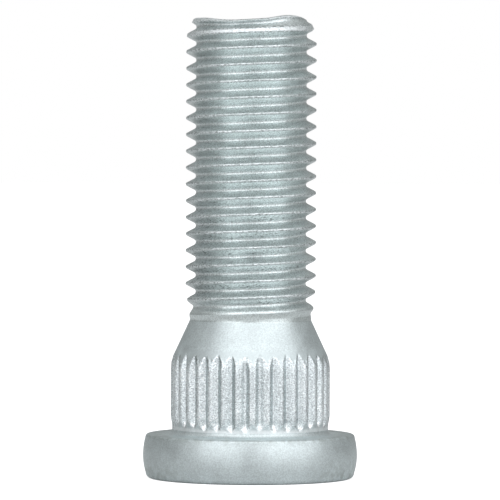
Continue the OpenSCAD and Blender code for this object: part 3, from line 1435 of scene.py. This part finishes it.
@dataclass
class WheelStud:
    """The whole stud: blank and thread joined into one closed mesh, and its finishes."""

    sizes: StudSizes
    uneven: float = 0.012 * MM
    uneven_scale: float = 900.0
    back_z: float = 0.01 * MM
    end_l: float = 2.0 * MM
    plain_end_r: float = 4.45 * MM

    def join(self, blank: Piece, thread: Piece) -> Piece:
        """Join the blank and the thread and bridge the ring between them.

        Args:
            blank: The blank, open at its neck.
            thread: The thread, open at its foot.

        Returns:
            The closed stud.
        """
        Bench.pick(blank)
        thread.select_set(True)
        bpy.ops.object.join()
        blank.name = blank.data.name = PIECE
        with Bench.editing(blank):
            bpy.ops.mesh.select_mode(type="EDGE")
            bpy.ops.mesh.select_all(action="DESELECT")
            bpy.ops.mesh.select_non_manifold()
            bpy.ops.mesh.bridge_edge_loops()
            bpy.ops.mesh.select_all(action="SELECT")
            bpy.ops.mesh.normals_make_consistent(inside=False)
            bpy.ops.mesh.select_mode(type="VERT")
        return blank

    def roughen(self, piece: Piece) -> None:
        """Give the surface the slight unevenness of forged and rolled steel, always inwards.

        Args:
            piece: The joined stud.
        """
        for vert in piece.data.vertices:
            r = math.hypot(vert.co.x, vert.co.y)
            if vert.co.z < self.back_z or r < AXIS_R:
                continue
            dip = self.uneven * dimples(vert.co, self.uneven_scale)
            vert.co.x *= 1 - dip / r
            vert.co.y *= 1 - dip / r

    def paint(self, piece: Piece, blank: HeadedBlank, thread: RolledThread) -> None:
        """Paint the finishes' masks on every vertex, since an attribute starts out white.

        Args:
            piece: The joined stud.
            blank: The blank, which knows where its grooves lie.
            thread: The thread, which knows where its crests run.
        """
        painters = {Masks.KNURL: BlankPaint(blank), Masks.THREAD: ThreadPaint(thread, self.plain_end_r)}
        for name, painter in painters.items():
            layer = piece.data.attributes.new(name.value, "FLOAT_COLOR", "POINT")
            for vert in piece.data.vertices:
                layer.data[vert.index].color = painter.masks(vert.co)

    def zone(self, centre: Vector) -> Zone:
        """Tell how the surface round a face's centre was worked.

        Args:
            centre: Centre of the face.

        Returns:
            The face's zone.
        """
        s, z = self.sizes, centre.z
        cupped = z > s.length - self.end_l and math.hypot(*centre.xy) < self.plain_end_r
        if s.cone_top_z < z and not cupped:
            return Zone.ROLLED
        return Zone.KNURLED if s.head_t + s.fillet_r < z < s.knurl_stop_z else Zone.HEADED

    def dress(self, piece: Piece) -> None:
        """Give each worked surface its finish.

        Args:
            piece: The painted stud.
        """
        plating = Plating()
        finishes = {
            Zone.HEADED: HeadedFinish("headed_zinc"),
            Zone.KNURLED: KnurledFinish("knurled_zinc"),
            Zone.ROLLED: RolledFinish("rolled_zinc"),
        }
        piece.data.materials.clear()
        for zone in Zone:
            piece.data.materials.append(finishes[zone].build(plating))
        for face in piece.data.polygons:
            face.material_index = self.zone(face.center).value

    def build(self) -> Piece:
        """Model, join, roughen and dress the stud and hang it on the frame.

        Returns:
            The finished piece.
        """
        blank, thread = HeadedBlank(self.sizes), RolledThread(self.sizes)
        piece = self.join(blank.build(), thread.build())
        self.paint(piece, blank, thread)
        self.roughen(piece)
        Bench.pick(piece)
        bpy.ops.object.shade_smooth()
        self.dress(piece)
        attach(piece, "root")
        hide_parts(NODE)
        LOG.info("wheel stud: %d vertices, %d faces", len(piece.data.vertices), len(piece.data.polygons))
        return piece


@dataclass(frozen=True)
class SoftBox:
    """A rectangular lamp: its place, its width and height in metres, and its power in watts."""

    name: str
    place: Triple
    size: Pair
    power: float


@dataclass
class Studio:
    """Pale floor, plain light and the camera at the photograph's angle.

    The world is grey, and its spans say where along an axis one grey becomes the next. The
    camera's roll is in degrees and its sensor's width in mm.
    """

    sizes: StudSizes
    camera_distance: float = 430.0 * MM
    camera_x: float = -0.07 * MM
    camera_z: float = 32.4 * MM
    aim_z: float = 20.7 * MM
    view_width: float = 45.4 * MM
    sensor_width: float = 36.0
    clip_start: float = 0.01
    roll: float = 0.22
    floor_size: float = 4.0
    floor_colour: Colour = (0.7, 0.7, 0.7, 1.0)
    floor_glow: float = 0.77
    front_grey: Colour = (0.32, 0.328, 0.328, 1.0)
    side_grey: Colour = (0.28, 0.287, 0.284, 1.0)
    back_grey: Colour = (0.34, 0.348, 0.344, 1.0)
    top_grey: Colour = (0.64, 0.65, 0.65, 1.0)
    beside_span: Pair = (-0.98, -0.7)
    behind_span: Pair = (0.55, 0.92)
    above_span: Pair = (0.15, 0.75)
    lamp_colour: Triple = (0.972, 0.977, 1.0)
    boxes: tuple[SoftBox, ...] = (
        SoftBox("left_box", (-0.56, -0.83, 0.5), (1.06, 1.3), 5.6),
        SoftBox("right_box", (0.7, -0.72, 0.5), (1.4, 1.3), 7.5),
        SoftBox("top_box", (0.0, -0.5, 0.95), (1.0, 0.5), 0.8),
    )

    def build_floor(self) -> None:
        """Lay the pale floor, which stays white to the camera and keeps the stud's shadow."""
        Bench.deselect()
        bpy.ops.mesh.primitive_plane_add(size=self.floor_size, location=CENTRE)
        floor = bpy.context.object
        floor.name = "floor"
        material = bpy.data.materials.new("pale_floor")
        material.use_nodes = True
        material.node_tree.nodes.clear()
        weave = Weave(material.node_tree)
        matt, glow = weave.node("ShaderNodeBsdfDiffuse"), weave.node("ShaderNodeEmission")
        seen = weave.node("ShaderNodeLightPath").outputs["Is Camera Ray"]
        weave.feed(matt.inputs["Color"], self.floor_colour)
        weave.feed(glow.inputs["Strength"], weave.times(seen, self.floor_glow))
        both = weave.node("ShaderNodeAddShader")
        weave.feed(both.inputs[0], matt.outputs["BSDF"])
        weave.feed(both.inputs[1], glow.outputs["Emission"])
        weave.feed(weave.node("ShaderNodeOutputMaterial").inputs["Surface"], both.outputs["Shader"])
        floor.data.materials.append(material)

    def build_world(self) -> None:
        """Surround the stud with plain grey light, and show white behind it."""
        world = bpy.data.worlds.new("studio")
        bpy.context.scene.world = world
        world.use_nodes = True
        world.node_tree.nodes.clear()
        weave = Weave(world.node_tree)
        way = weave.node("ShaderNodeSeparateXYZ")
        weave.feed(way.inputs[0], weave.node("ShaderNodeTexCoord").outputs["Generated"])
        grey = weave.blend(weave.span(way.outputs["Y"], *self.beside_span), self.front_grey, self.side_grey)
        grey = weave.blend(weave.span(way.outputs["Z"], *self.above_span), grey, self.top_grey)
        grey = weave.blend(weave.span(way.outputs["Y"], *self.behind_span), grey, self.back_grey)
        mix = weave.node("ShaderNodeMixShader")
        weave.feed(mix.inputs["Fac"], weave.node("ShaderNodeLightPath").outputs["Is Camera Ray"])
        for index, colour in ((1, grey), (2, WHITE)):
            light = weave.node("ShaderNodeBackground")
            weave.feed(light.inputs["Color"], colour)
            weave.feed(mix.inputs[index], light.outputs["Background"])
        weave.feed(weave.node("ShaderNodeOutputWorld").inputs["Surface"], mix.outputs["Shader"])

    def build_lamp(self, box: SoftBox) -> None:
        """Hang one soft box that faces the stud's middle.

        Args:
            box: The soft box.
        """
        data = bpy.data.lights.new(box.name, "AREA")
        data.shape = "RECTANGLE"
        data.size, data.size_y = box.size
        data.energy = box.power
        data.color = self.lamp_colour
        lamp = bpy.data.objects.new(box.name, data)
        bpy.context.collection.objects.link(lamp)
        lamp.location = box.place
        aim = Vector((0.0, 0.0, self.sizes.length / 2)) - Vector(box.place)
        lamp.rotation_euler = aim.to_track_quat("-Z", "Y").to_euler()
        lamp.visible_camera = False

    def build_camera(self) -> None:
        """Set up the camera where the photograph was taken from."""
        data = bpy.data.cameras.new("camera")
        camera = bpy.data.objects.new("camera", data)
        bpy.context.collection.objects.link(camera)
        place = Vector((self.camera_x, -self.camera_distance, self.camera_z))
        aim = Vector((self.camera_x, 0.0, self.aim_z)) - place
        data.sensor_width = self.sensor_width
        data.lens = data.sensor_width * aim.length / self.view_width
        data.clip_start = self.clip_start
        camera.location = place
        camera.rotation_mode = "QUATERNION"
        turn = Quaternion(UP, math.radians(self.roll))
        camera.rotation_quaternion = aim.to_track_quat("-Z", "Y") @ turn
        bpy.context.scene.camera = camera

    def build(self) -> None:
        """Build the floor, the world, the lamps and the camera."""
        self.build_floor()
        self.build_world()
        for box in self.boxes:
            self.build_lamp(box)
        self.build_camera()
        bpy.context.scene.view_settings.view_transform = "Standard"
        LOG.info("studio: floor, world, lamps and camera are in place")


def main() -> None:
    """Build the stud and the studio in order."""
    logging.basicConfig(level=logging.INFO, format="%(name)s: %(message)s")
    sizes = StudSizes.from_frame()
    WheelStud(sizes).build()
    Studio(sizes).build()


if __name__ == "__main__":
    main()
